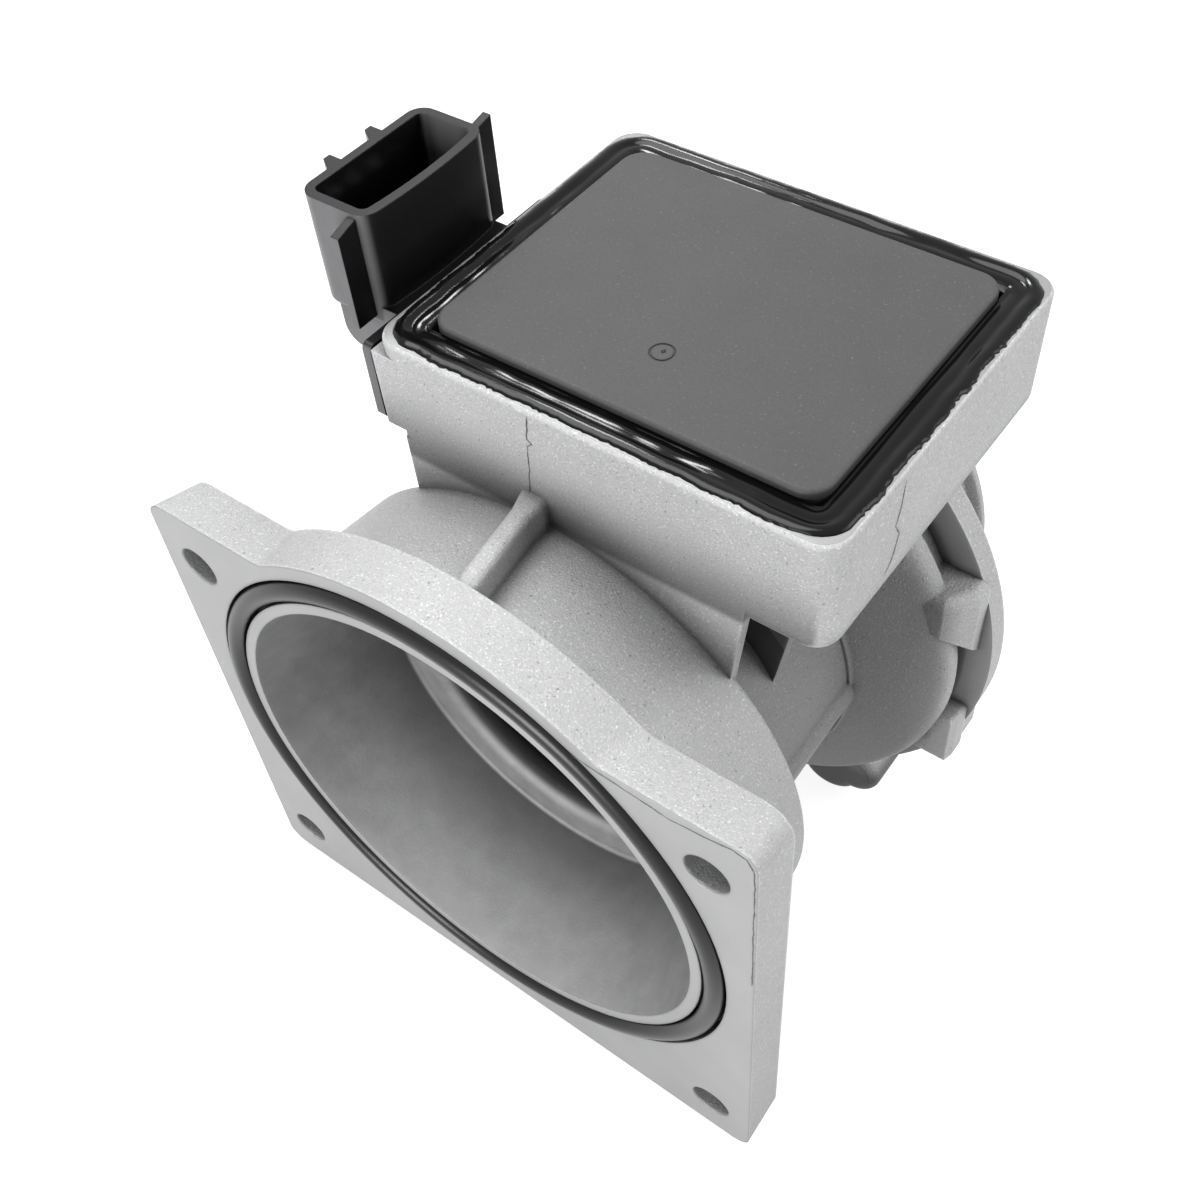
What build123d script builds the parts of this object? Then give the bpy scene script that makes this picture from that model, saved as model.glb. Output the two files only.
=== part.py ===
from build123d import *
import os
from math import cos, radians, sin, sqrt, tan

# Mass airflow sensor: a cast aluminium body with a square inlet flange, an electronics box on top,
# a plug socket on its left side and a hose collar at the back.
# Frame: millimetres, +Z up through the lid, air flows along +Y.
# Origin: centre of the inlet bore, on the front face of the bolt flange.

# Inlet flange
flange_half = 50.0
flange_thick = 7.8
ear_top = 39.4
flange_drop = 49.8
ear_draft = 1.4
rim_radius = 48.2
rim_blend = 4.0
flange_corner = 3.0
flange_back_corner = 4.5
bolt_x = 43.0
upper_bolt_z = 29.7
lower_bolt_z = -41.1
bolt_hole = 6.6

# Inlet bore, seal groove and throat
mouth_radius = 40.0
lip_width = 1.8
groove_width = 4.0
groove_depth = 2.6
seal_section = 3.4
seal_clear = 0.15
cone_end_radius = 33.0
ledge_y = 23.0
throat_radius = 26.2
throat_round = 2.5
throat_end_y = 52.0
throat_exit_radius = 30.0

# Bell and tube behind the flange
bell_radius = 43.3
bell_back_radius = 41.9
bell_back_y = 26.2
bell_round = 1.0
bell_cove = 2.5
bell_cove_margin = 0.5
tube_radius = 34.4
tube_end_radius = 33.7
tube_fillet = 2.0
bead_height = 0.5
bead_length = 0.9
side_bar_radius = 2.4
side_bar_x = 32.8
side_bar_z = 0.3
side_bar_end_y = 50.4

# Drum at the back of the tube
drum_face_y = 52.3
drum_radius = 46.2
drum_shoulder_y = 59.9
drum_round = 3.2
drum_back_y = 62.5
recess_radius = 44.0
joint_y = 66.5
channel_inner = 32.0
channel_outer = 36.5
channel_front_y = 60.0
channel_exit = 6.0

# Lugs on the drum for the collar screws
upper_lug_foot = 4.0
upper_lug_chin = 12.5
upper_lug_top = 19.4
upper_lug_reach = 47.4
upper_lug_front_x = 44.0
upper_lug_front_y = 58.6
upper_lug_flat = 3.0
upper_lug_round = 2.2
lower_lug_foot = -20.3
lower_lug_top = -10.0
lower_lug_reach = 47.8
lower_lug_front_x = 47.3
lower_lug_front_y = 61.8
lower_lug_flat = 3.0
lower_lug_round = 0.9
upper_screw_x = 42.6
upper_screw_z = 12.0
lower_screw_x = 43.0
lower_screw_z = -15.6

# Electronics box
box_x = 9.15
box_y = 53.0
box_width = 68.5
box_length = 56.4
box_bottom_z = 42.0
box_height = 19.8
box_draft = 0.5
box_corner = 3.8
box_floor = 2.8
box_edge_round = 3.2
rim_wall = 2.2
rim_round = 0.7
ledge_depth = 4.3

# Lid and its sealant
sealant_gap = 3.1
lid_corner = 3.6
lid_proud = 1.3
lid_top = 2.0
lid_skirt = 2.0
lid_edge_round = 0.6
gate_radius = 1.7
gate_step = 0.15
gate_y = 41.1
sealant_clear = 0.05
sealant_drop = 1.0
sealant_round_share = 0.35

# Webs, bypass boss and rib that carry the box
web_thick = 2.0
web_left_x = -22.4
front_web_right_x = 30.0
front_web_foot_z = 31.4
front_web_lean = 8.0
rear_web_right_x = 29.9
rear_web_foot_z = 17.8
rear_web_lean = 11.0
rear_web_y = 37.0
boss_half = 9.0
rib_width = 3.2
rib_start_x = 2.7
rib_start_z = 47.95
rib_end_x = -0.25
rib_end_z = 47.0
rib_root = 6.5
rib_mound = 3.3
rib_mound_width = 4.6
rib_round = 1.1

# Bypass passage in the upper wall, and the sensor holder
bypass_z = 32.5
bypass_radius = 3.5
bypass_start_y = 17.0
holder_gap = 1.4
holder_radius = 5.6
holder_clear = 0.1
holder_overlap = 0.7
holder_foot_gap = 0.6
holder_flange_half_x = 6.2
holder_flange_half_y = 10.5
holder_flange_thick = 2.2
holder_screw_y = 8.0
pin_radius = 0.4
pin_offset_x = 2.2
pin_offset_y = 2.5
pin_clear = 0.05
element_radius = 0.35
holder_seal_section = 1.4

# Circuit board
board_gap = 1.9
board_thick = 1.0
board_corner = 1.5
post_height = 4.0
post_radius = 3.0
post_inset_x = 5.0
post_inset_y = 3.0

# Parts on the board, with their places from the board's centre
chip_x = 3.85
chip_y = 2.0
chip_width = 14.0
chip_length = 10.0
chip_lift = 0.4
chip_thick = 2.0
chip_bevel = 0.3
foot_count = 7
foot_pitch = 1.87
foot_width = 0.5
foot_reach = 1.2
foot_thick = 0.6
transistor_x = 17.35
transistor_y = -3.5
transistor_width = 9.0
transistor_length = 9.0
transistor_thick = 2.8
tab_ahead = 3.0
tab_behind = 1.0
tab_thick = 0.8
capacitor_count = 6
capacitor_pitch = 3.8
capacitor_x = -15.55
capacitor_y = 1.3
capacitor_length = 3.2
capacitor_width = 1.6
capacitor_height = 1.2

# Plug socket
socket_x = -35.5
socket_y = 44.3
socket_width = 12.6
socket_length = 24.0
socket_corner = 2.6
socket_bow = 0.7
socket_wall = 1.4
socket_top_z = 73.0
socket_foot_z = 55.6
socket_floor_z = 60.0
elbow_drop = 6.1
elbow_inset = 2.6
elbow_round = 3.0
pad_x = -25.3
pad_depth = 4.0
pad_bottom_z = 46.9
pad_top_z = 59.4
gasket_thick = 0.5
plate_thick = 1.5
plate_front_y = 25.1
plate_back_y = 63.1
plate_round = 1.0
neck_half_y = 9.3
neck_bottom_z = 50.5
neck_top_z = 56.5
neck_clear = 0.2
plate_screw_inset = 4.0
fin_x = -32.9
fin_thick = 1.3
fin_reach = 3.4
fin_bottom_z = 57.2
fin_top_drop = 0.6
key_reach = 2.1
key_base = 2.8
key_tip = 1.2
key_spacing = 8.0
key_centre_y = 43.3
key_bottom_z = 57.0
terminal_count = 5
terminal_pitch = 4.0
terminal_width = 2.2
terminal_thick = 0.8
terminal_tip_z = 67.5
terminal_run_z = 53.4
terminal_end_x = -16.6
lead_thick = 0.3
lead_lap = 1.0
lead_reach = 1.8
lead_foot = 0.9
lead_narrow = 0.4

# Outlet collar
collar_flange_radius = 49.8
collar_flange_thick = 3.9
collar_groove_radius = 38.4
collar_groove_width = 2.0
collar_groove_depth = 1.7
collar_seal_section = 1.6
collar_clear = 0.3
collar_ear_foot = -18.0
spigot_radius = 35.4
spigot_bore = 33.0
spigot_end_y = 91.0
spigot_bead = 37.0
spigot_bead_length = 3.2
ear_boss_x = 25.2
ear_boss_z = -45.5
ear_boss_radius = 6.0
ear_boss_round = 2.0
ear_boss_lead = 1.5
ear_lobe_x = 29.7
ear_lobe_z = -43.5
ear_lobe_radius = 5.2
ear_boss_depth = 9.0
ear_lobe_depth = 7.5
ear_hole = 5.0
ear_hole_depth = 8.0

# Small screws, as shank radius, head radius and head height
small_shank = 1.2
small_head = 2.4
small_head_height = 1.6
collar_shank = 1.4
collar_head = 2.7
collar_head_height = 2.0
collar_screw_reach = 4.6
screw_clear = 0.06
screw_slack = 0.3
slot_width = 0.7
slot_depth = 0.7

# Sizes that follow from the ones above
box_top_z = box_bottom_z + box_height
box_spread = box_height * tan(radians(box_draft))
box_right = box_x + box_width / 2
box_front = box_y - box_length / 2
floor_z = box_bottom_z + box_floor
ledge_z = box_top_z - ledge_depth
lid_width = box_width - 2 * (rim_wall + sealant_gap)
lid_length = box_length - 2 * (rim_wall + sealant_gap)
room_width = lid_width - 2 * lid_skirt
room_length = lid_length - 2 * lid_skirt
room_left = box_x - room_width / 2
board_width = room_width - 2 * board_gap
board_length = room_length - 2 * board_gap
board_bottom = floor_z + post_height
board_top = board_bottom + board_thick
holder_y = box_y - room_length / 2 + holder_gap + holder_flange_half_y
holder_bottom = bypass_z + bypass_radius - holder_overlap
collar_back = joint_y + collar_flange_thick
upper_lug = (upper_lug_foot, upper_lug_chin, upper_lug_top, upper_lug_reach, upper_lug_front_x,
             upper_lug_front_y, upper_lug_flat, upper_lug_round)
lower_lug = (lower_lug_foot, lower_lug_foot, lower_lug_top, lower_lug_reach, lower_lug_front_x,
             lower_lug_front_y, lower_lug_flat, lower_lug_round)
collar_screw_places = [
    (side * x, z)
    for side in (-1, 1)
    for x, z in ((upper_screw_x, upper_screw_z), (lower_screw_x, lower_screw_z))
]


def across(y):
    """Plane that stands across the air flow at y, with x to the right and z up."""
    return Plane(origin=(0, y, 0), x_dir=(1, 0, 0), z_dir=(0, -1, 0))


def slab(sketch, front, back):
    """A sketch drawn across the flow, as a solid from front to back."""
    return extrude(across(front) * sketch, amount=front - back)


def rod_along(x, z, radius, front, back):
    """A round bar along the flow."""
    return slab(Pos(x, z) * Circle(radius), front, back)


def rod_up(x, y, radius, bottom, top):
    """A round bar that stands up."""
    return Pos(x, y, bottom) * extrude(Circle(radius), amount=top - bottom)


def block(x0, x1, y0, y1, z0, z1):
    """A rectangular block between two corners."""
    middle = Pos((x0 + x1) / 2, (y0 + y1) / 2, (z0 + z1) / 2)
    return middle * Box(x1 - x0, y1 - y0, z1 - z0)


def turned(points, radii):
    """A body turned about the air flow from points of radius and place, with rounded corners."""
    outline = FilletPolyline(*points, radius=radii, close=True)
    return revolve(make_face(outline), axis=Axis.Y)


def ring(radius, y, section):
    """A round ring about the air flow."""
    return revolve(Pos(radius, y) * Circle(section / 2), axis=Axis.Y)


def flange_face(ear, corner, y):
    """Outline of the bolt flange: straight sides and ears, with the rim's arc rising between them."""
    blend_x = sqrt((rim_radius + rim_blend) ** 2 - (ear + rim_blend) ** 2)
    toward = Vector(-blend_x, -ear - rim_blend) / (rim_radius + rim_blend)
    centre = Vector(blend_x, ear + rim_blend)
    middle = centre + (toward + Vector(0, -1)).normalized() * rim_blend
    meets = centre + toward * rim_blend
    side = flange_half
    edges = [
        Line((-side, -flange_drop), (side, -flange_drop)),
        Line((side, -flange_drop), (side, ear)),
        Line((side, ear), (blend_x, ear)),
        ThreePointArc((blend_x, ear), middle, meets),
        ThreePointArc(meets, (0, rim_radius), (-meets.X, meets.Y)),
        ThreePointArc((-meets.X, meets.Y), (-middle.X, middle.Y), (-blend_x, ear)),
        Line((-blend_x, ear), (-side, ear)),
        Line((-side, ear), (-side, -flange_drop)),
    ]
    outline = make_face(edges)
    corners = [v for v in outline.vertices() if abs(abs(v.X) - side) < 0.01]
    return across(y) * fillet(corners, corner)


def bolt_flange():
    """The plate that bolts to the air cleaner, with its ears drafted towards the back."""
    front = flange_face(ear_top, flange_corner, 0)
    back = flange_face(ear_top - ear_draft, flange_back_corner, flange_thick)
    return loft([front, back], ruled=True)


def outer_barrel():
    """Bell, tube and drum as one turned form."""
    cove_end = bell_radius + bell_cove + bell_cove_margin
    points = [
        (0, flange_thick - 1),
        (cove_end, flange_thick - 1),
        (cove_end, flange_thick),
        (bell_radius, flange_thick),
        (bell_back_radius, bell_back_y),
        (tube_radius, bell_back_y),
        (tube_end_radius, drum_face_y - bead_length),
        (tube_end_radius + bead_height, drum_face_y - bead_length),
        (tube_end_radius + bead_height, drum_face_y),
        (drum_radius, drum_shoulder_y),
        (drum_radius, drum_back_y),
        (recess_radius, drum_back_y),
        (recess_radius, joint_y),
        (0, joint_y),
    ]
    radii = [0, 0, 0, bell_cove, bell_round, tube_fillet, 0, bead_height / 2, 0, drum_round, 0, 0, 0, 0]
    return turned(points, radii)


def inner_bore():
    """The air path: cone, ledge, throat and widening outlet."""
    points = [
        (0, -1),
        (mouth_radius, -1),
        (mouth_radius, 0),
        (cone_end_radius, ledge_y),
        (throat_radius, ledge_y),
        (throat_radius, throat_end_y),
        (throat_exit_radius, joint_y),
        (throat_exit_radius, joint_y + 1),
        (0, joint_y + 1),
    ]
    radii = [0, 0, 0, 1.0, throat_round, 8.0, 0, 0, 0]
    return turned(points, radii)


def drum_lug(side, foot, chin, top, reach, front_x, front_y, flat, top_round):
    """A screw lug from the drum's front edge to the joint, with a chin that falls back to its foot."""
    plan = [
        (channel_outer, front_y),
        (front_x, front_y),
        (reach, joint_y - flat),
        (reach, joint_y),
        (channel_outer, joint_y),
    ]
    lug = Pos(0, 0, foot) * extrude(make_face(Polyline(*plan, close=True)), amount=top - foot)
    if chin > foot:
        under = [
            (front_y - 1, foot - 1),
            (front_y - 1, chin),
            (front_y, chin),
            (joint_y, foot),
            (joint_y, foot - 1),
        ]
        lug -= extrude(Plane.YZ * make_face(Polyline(*under, close=True)), amount=reach + 1)
    upper = lug.edges().filter_by(lambda e: e.center().Z > top - 0.01 and e.center().Y < joint_y - 0.01)
    lug = fillet([e for e in upper if e.center().X > channel_outer + 0.01], top_round)
    return mirror(lug, about=Plane.YZ) if side < 0 else lug


def box_shell():
    """The electronics box: slightly drafted walls, rounded corners, and a step low on the left wall."""
    foot = RectangleRounded(box_width - 2 * box_spread, box_length - 2 * box_spread, box_corner)
    body = Pos(box_x, box_y, box_bottom_z) * extrude(foot, amount=box_height, taper=-box_draft)
    low = body.edges().filter_by(lambda e: abs(e.center().Z - box_bottom_z) < 0.01)
    body = fillet(low, box_edge_round)
    rim = body.edges().filter_by(lambda e: abs(e.center().Z - box_top_z) < 0.01)
    body = fillet(rim, rim_round)
    left = box_x - box_width / 2
    return body - block(left - 1, web_left_x, box_front - 1, box_front + box_length + 1,
                        box_bottom_z - 1, pad_bottom_z)


def flush_piece(outline, back):
    """A piece drawn across the flow, with its front face in the plane of the box's front wall."""
    foot_y = box_front + box_top_z * tan(radians(box_draft))
    points = [(box_front, box_top_z), (foot_y, 0), (back, 0), (back, box_top_z)]
    profile = Plane.YZ * make_face(Polyline(*points, close=True))
    return extrude(profile, amount=flange_half, both=True) & slab(outline, 0, back)


def wall_pad():
    """The flat pad on the box's left wall that the plug socket is screwed to."""
    middle = (pad_bottom_z + pad_top_z) / 2
    outline = Pos(pad_x + pad_depth / 2, middle) * Rectangle(pad_depth, pad_top_z - pad_bottom_z)
    return flush_piece(outline, plate_back_y + 1)


def web_outline(right, foot, lean, top):
    """A web seen from the front: plumb on the left, leaning outwards on the right."""
    slope = tan(radians(lean))
    points = [
        (web_left_x, 0),
        (right - foot * slope, 0),
        (right + (top - foot) * slope, top),
        (web_left_x, top),
    ]
    return make_face(Polyline(*points, close=True))


def under_box():
    """Two cross webs and the bypass boss between the tube and the box."""
    top = box_bottom_z + box_edge_round + 0.5
    front = web_outline(front_web_right_x, front_web_foot_z, front_web_lean, top)
    walls = flush_piece(front, box_front + web_thick)
    rear = web_outline(rear_web_right_x, rear_web_foot_z, rear_web_lean, box_bottom_z + 1)
    walls += slab(rear, rear_web_y - web_thick / 2, rear_web_y + web_thick / 2)
    walls += block(-boss_half, boss_half, box_front + web_thick / 2, drum_shoulder_y,
                   throat_radius + 2, box_bottom_z + 1)
    return walls


def top_rib():
    """The slim rib from the flange's rim to the box's front wall, with a mound where it meets the wall."""
    start = rib_root
    end = box_front + web_thick / 2
    lean = (rib_end_x - rib_start_x) / (box_front - flange_thick)
    fall = (rib_end_z - rib_start_z) / (box_front - flange_thick)
    half = rib_width / 2
    plan = []
    for side in (1, -1):
        outline = [(start, half), (box_front - rib_mound, half), (end, rib_mound_width / 2)]
        for y, reach in outline[::side]:
            plan.append((rib_start_x + (y - flange_thick) * lean + side * reach, y))
    bar = Pos(0, 0, tube_radius) * extrude(make_face(Polyline(*plan, close=True)), amount=box_bottom_z)
    crest = [(y, rib_start_z + (y - flange_thick) * fall) for y in (start - 1, end + 1)]
    side = [(start - 1, 0), crest[0], crest[1], (end + 1, 0)]
    profile = extrude(Plane.YZ * make_face(Polyline(*side, close=True)), amount=flange_half, both=True)
    bar = bar & profile
    edges = bar.edges().filter_by(lambda e: e.center().Z > rib_end_z - 0.5 and e.length > rib_mound - 0.5)
    return fillet([e for e in edges if abs(e.tangent_at(0.5).Y) > 0.7], rib_round)


def side_bars():
    """Round-ended ribs on both sides of the tube, along the mould's parting line."""
    bars = Part()
    for side in (-1, 1):
        bars += rod_along(side * side_bar_x, side_bar_z, side_bar_radius, bell_back_y - 1, side_bar_end_y)
        bars += Pos(side * side_bar_x, side_bar_end_y, side_bar_z) * Sphere(side_bar_radius)
    return bars


def box_hollow():
    """The room for the electronics, and the wider seat for the lid above it."""
    seat = RectangleRounded(box_width - 2 * rim_wall, box_length - 2 * rim_wall, box_corner)
    hollow = Pos(box_x, box_y, ledge_z) * extrude(seat, amount=ledge_depth + 1)
    room = RectangleRounded(room_width, room_length, lid_corner - 1)
    return hollow + Pos(box_x, box_y, floor_z) * extrude(room, amount=ledge_z - floor_z + 1)


def post_places():
    """Centres of the four posts under the board."""
    dx = board_width / 2 - post_inset_x
    dy = board_length / 2 - post_inset_y
    return [(box_x + sx * dx, box_y + sy * dy) for sx in (-1, 1) for sy in (-1, 1)]


def make_housing():
    """The aluminium casting."""
    body = bolt_flange() + outer_barrel() + box_shell() + wall_pad() + under_box()
    body += top_rib() + side_bars()
    for side in (-1, 1):
        body += drum_lug(side, *upper_lug) + drum_lug(side, *lower_lug)
    body -= inner_bore()
    groove_in = mouth_radius + lip_width
    groove = Circle(groove_in + groove_width) - Circle(groove_in)
    body -= slab(groove, -1, groove_depth)
    for side in (-1, 1):
        for z in (upper_bolt_z, lower_bolt_z):
            body -= rod_along(side * bolt_x, z, bolt_hole / 2, -1, flange_thick + 1)
    body -= box_hollow()
    for x, y in post_places():
        body += rod_up(x, y, post_radius, floor_z, board_bottom)
        body -= rod_up(x, y, small_shank + screw_clear, floor_z, board_bottom + 1)
    body -= rod_along(0, bypass_z, bypass_radius, bypass_start_y, channel_front_y + 1)
    channel = Circle(channel_outer) - Circle(channel_inner)
    body -= slab(channel, channel_front_y, joint_y + 1)
    body -= rod_up(0, (channel_front_y + joint_y) / 2, channel_exit / 2, -channel_inner - 1, 0)
    body -= rod_up(0, holder_y, holder_radius + holder_clear, holder_bottom - holder_foot_gap, floor_z + 1)
    for side in (-1, 1):
        place = holder_y + side * holder_screw_y
        body -= rod_up(0, place, small_shank + screw_clear, floor_z - 3.6, floor_z + 1)
    neck_y0 = socket_y - neck_half_y - neck_clear
    neck_y1 = socket_y + neck_half_y + neck_clear
    body -= block(pad_x - 1, room_left + 1, neck_y0, neck_y1, neck_bottom_z - neck_clear,
                  neck_top_z + neck_clear)
    for y, z in plate_screw_places():
        body -= Pos(pad_x - 1, y, z) * Rot(0, 90, 0) * extrude(Circle(small_shank + screw_clear), amount=6)
    for x, z in collar_screw_places:
        body -= rod_along(x, z, collar_shank + screw_clear, joint_y - collar_screw_reach, joint_y + 1)
    return body


def make_inlet_seal():
    """The O-ring in the flange's groove."""
    middle = mouth_radius + lip_width + groove_width / 2
    return ring(middle, groove_depth - seal_section / 2 - seal_clear, seal_section)


def make_lid():
    """The lid: a plate with a skirt that stands on the ledge, and a small gate mark."""
    height = box_top_z + lid_proud - ledge_z
    outside = RectangleRounded(lid_width, lid_length, lid_corner)
    inside = RectangleRounded(room_width, room_length, lid_corner - 1)
    lid = extrude(outside, amount=height)
    upper = lid.edges().filter_by(lambda e: e.center().Z > height - 0.01)
    lid = fillet(upper, lid_edge_round)
    lid -= extrude(inside, amount=height - lid_top)
    gate = Circle(gate_radius) - Circle(gate_radius - 0.3)
    mark = Pos(0, gate_y - box_y, height - gate_step) * extrude(gate, amount=1)
    return Pos(box_x, box_y, ledge_z) * (lid - mark)


def make_lid_sealant():
    """The bead of sealant that fills the gap between the lid and the rim."""
    margin = 2 * rim_wall + 2 * sealant_clear
    outside = RectangleRounded(box_width - margin, box_length - margin, box_corner)
    grown = 2 * sealant_clear
    inside = RectangleRounded(lid_width + grown, lid_length + grown, lid_corner + sealant_clear)
    height = ledge_depth - sealant_drop
    bead = extrude(outside - inside, amount=height)
    upper = bead.edges().filter_by(lambda e: e.center().Z > height - 0.01)
    return Pos(box_x, box_y, ledge_z) * fillet(upper, sealant_round_share * sealant_gap)


def socket_outline(grow):
    """Outline of the plug socket: a rounded rectangle with a slightly bowed right side."""
    half_x = socket_width / 2 + grow
    half_y = socket_length / 2 + grow
    edges = [
        Line((half_x - socket_bow, half_y), (-half_x, half_y)),
        Line((-half_x, half_y), (-half_x, -half_y)),
        Line((-half_x, -half_y), (half_x - socket_bow, -half_y)),
        ThreePointArc((half_x - socket_bow, -half_y), (half_x, 0), (half_x - socket_bow, half_y)),
    ]
    outline = make_face(edges)
    return Pos(socket_x, socket_y) * fillet(outline.vertices(), socket_corner + grow)


def key_ribs():
    """Two coding ribs on the outer wall of the socket."""
    left = socket_x - socket_width / 2
    ribs = Part()
    for side in (-1, 1):
        base = key_centre_y + side * key_spacing / 2 + key_base / 2
        points = [
            (left + 0.3, base),
            (left - key_reach, base),
            (left - key_reach, base - key_tip),
            (left + 0.3, base - key_base),
        ]
        rib = make_face(Polyline(*points, close=True))
        ribs += Pos(0, 0, key_bottom_z) * extrude(rib, amount=socket_top_z - key_bottom_z)
    return ribs


def side_fins():
    """Two upright fins in line with the socket's inner wall."""
    front = socket_y - socket_length / 2
    back = socket_y + socket_length / 2
    points = [
        (front - fin_reach, fin_bottom_z),
        (front - fin_reach, socket_top_z - 1.6),
        (front, socket_top_z - fin_top_drop),
        (back, socket_top_z - fin_top_drop),
        (back + fin_reach - 0.4, socket_top_z),
        (back + fin_reach - 0.4, fin_bottom_z),
    ]
    side = Plane(origin=(fin_x, 0, 0), x_dir=(0, 1, 0), z_dir=(1, 0, 0))
    return extrude(side * make_face(Polyline(*points, close=True)), amount=fin_thick)


def plate_screw_places():
    """Places of the two screws in the socket's base plate, along y and z."""
    z = (pad_bottom_z + pad_top_z) / 2
    return [(plate_front_y + plate_screw_inset, z), (plate_back_y - plate_screw_inset, z)]


def terminal(y, grow=0.0):
    """One blade: upright in the socket, then along the elbow into the box."""
    half = terminal_width / 2 + grow
    thin = terminal_thick / 2 + grow
    upright = block(socket_x - thin, socket_x + thin, y - half, y + half,
                    terminal_run_z - thin, terminal_tip_z)
    run = block(socket_x - thin, terminal_end_x, y - half, y + half,
                terminal_run_z - thin, terminal_run_z + thin)
    blade = upright + run
    if grow == 0:
        tip = blade.edges().filter_by(Axis.Y).filter_by(lambda e: e.center().Z > terminal_tip_z - 0.01)
        blade = chamfer(tip, 0.25)
    return blade


def terminal_places():
    """Where the blades stand along the socket."""
    middle = (terminal_count - 1) / 2
    return [socket_y + (i - middle) * terminal_pitch for i in range(terminal_count)]


def make_connector_body():
    """The plug socket with its elbow, base plate, neck, fins and coding ribs."""
    shell = Pos(0, 0, socket_foot_z) * extrude(socket_outline(0), amount=socket_top_z - socket_foot_z)
    foot = shell.edges().filter_by(lambda e: abs(e.center().Z - socket_foot_z) < 0.01)
    shell = fillet(foot, 1.2)
    plate_x = pad_x - gasket_thick - plate_thick
    left = socket_x - socket_width / 2 + elbow_inset
    y0 = socket_y - socket_length / 2 + 0.4
    y1 = socket_y + socket_length / 2 - 0.4
    elbow = block(left, plate_x + 0.5, y0, y1, socket_foot_z - elbow_drop, socket_foot_z + 3)
    heel = [e for e in elbow.edges().filter_by(Axis.Y) if e.center().X < left + 0.01]
    elbow = fillet([e for e in heel if e.center().Z < socket_foot_z], elbow_round)
    plate = block(plate_x, plate_x + plate_thick, plate_front_y, plate_back_y, pad_bottom_z, pad_top_z)
    ends = plate.edges().filter_by(Axis.X)
    plate = fillet(ends, plate_round)
    neck_y0 = socket_y - neck_half_y
    neck_y1 = socket_y + neck_half_y
    neck = block(plate_x, room_left, neck_y0, neck_y1, neck_bottom_z, neck_top_z)
    body = shell + elbow + plate + neck + side_fins() + key_ribs()
    room = Pos(0, 0, socket_floor_z) * extrude(socket_outline(-socket_wall), amount=socket_top_z)
    body -= room
    for y in terminal_places():
        body -= terminal(y)
    for y, z in plate_screw_places():
        hole = extrude(Circle(small_shank + screw_slack), amount=4)
        body -= Pos(plate_x - 1, y, z) * Rot(0, 90, 0) * hole
    return body


def make_connector_gasket():
    """The flat seal between the socket's base plate and the pad."""
    x0 = pad_x - gasket_thick
    gasket = block(x0, pad_x, plate_front_y + 1, plate_back_y - 1, pad_bottom_z + 1, pad_top_z - 1)
    y0 = socket_y - neck_half_y - neck_clear
    y1 = socket_y + neck_half_y + neck_clear
    gasket -= block(x0 - 1, pad_x + 1, y0, y1, neck_bottom_z - neck_clear, neck_top_z + neck_clear)
    for y, z in plate_screw_places():
        gasket -= Pos(x0 - 1, y, z) * Rot(0, 90, 0) * extrude(Circle(small_shank + screw_slack), amount=3)
    return gasket


def screw(shank, head, head_height, length):
    """A round-headed screw that points down from its head's seat, with a cross slot."""
    top = Pos(0, 0, 0) * extrude(Circle(head), amount=head_height)
    rim = top.edges().filter_by(lambda e: e.center().Z > head_height - 0.01)
    top = fillet(rim, head_height * 0.4)
    slots = Box(head, slot_width, 2 * slot_depth) + Box(slot_width, head, 2 * slot_depth)
    top -= Pos(0, 0, head_height) * slots
    return top + Pos(0, 0, -length) * extrude(Circle(shank), amount=length)


def make_connector_screws():
    """Two screws through the base plate into the pad."""
    plate_x = pad_x - gasket_thick - plate_thick
    screws = []
    for y, z in plate_screw_places():
        one = screw(small_shank, small_head, small_head_height, plate_thick + gasket_thick + 4)
        screws.append(Pos(plate_x, y, z) * Rot(0, -90, 0) * one)
    return Compound(children=screws)


def support_places():
    """Centres of the four pins that carry the elements."""
    return [(sx * pin_offset_x, holder_y + sy * pin_offset_y) for sy in (-1, 1) for sx in (-1, 1)]


def make_circuit_board():
    """The ceramic board, with holes for its screws and for the support pins."""
    board = extrude(RectangleRounded(board_width, board_length, board_corner), amount=board_thick)
    board = Pos(box_x, box_y, board_bottom) * board
    for x, y in post_places():
        board -= rod_up(x, y, small_shank + screw_slack, board_bottom - 1, board_top + 1)
    for x, y in support_places():
        board -= rod_up(x, y, pin_radius + pin_clear, board_bottom - 1, board_top + 1)
    return board


def make_board_screws():
    """Four screws through the board into the posts."""
    screws = []
    for x, y in post_places():
        one = screw(small_shank, small_head, small_head_height, board_thick + post_height - 0.6)
        screws.append(Pos(x, y, board_top) * one)
    return Compound(children=screws)


def make_control_chip():
    """The flat control circuit in the middle of the board, with a foot row on each side."""
    x = box_x + chip_x
    y = box_y + chip_y
    top = board_top + chip_lift + chip_thick
    chip = block(x - chip_width / 2, x + chip_width / 2, y - chip_length / 2, y + chip_length / 2,
                 board_top + chip_lift, top)
    upper = chip.edges().filter_by(lambda e: e.center().Z > top - 0.01)
    chip = chamfer(upper, chip_bevel)
    reach = chip_length / 2 + foot_reach
    for i in range(foot_count):
        foot_x = x + (i - (foot_count - 1) / 2) * foot_pitch
        chip += block(foot_x - foot_width / 2, foot_x + foot_width / 2, y - reach, y + reach,
                      board_top, board_top + foot_thick)
    return chip


def make_power_transistor():
    """The heater's power transistor on its tab."""
    x0 = box_x + transistor_x - transistor_width / 2
    x1 = x0 + transistor_width
    y0 = box_y + transistor_y - transistor_length / 2
    y1 = y0 + transistor_length
    tab_top = board_top + tab_thick
    tab = block(x0, x1, y0 - tab_ahead, y1 + tab_behind, board_top, tab_top)
    return tab + block(x0, x1, y0, y1, tab_top, tab_top + transistor_thick)


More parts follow.
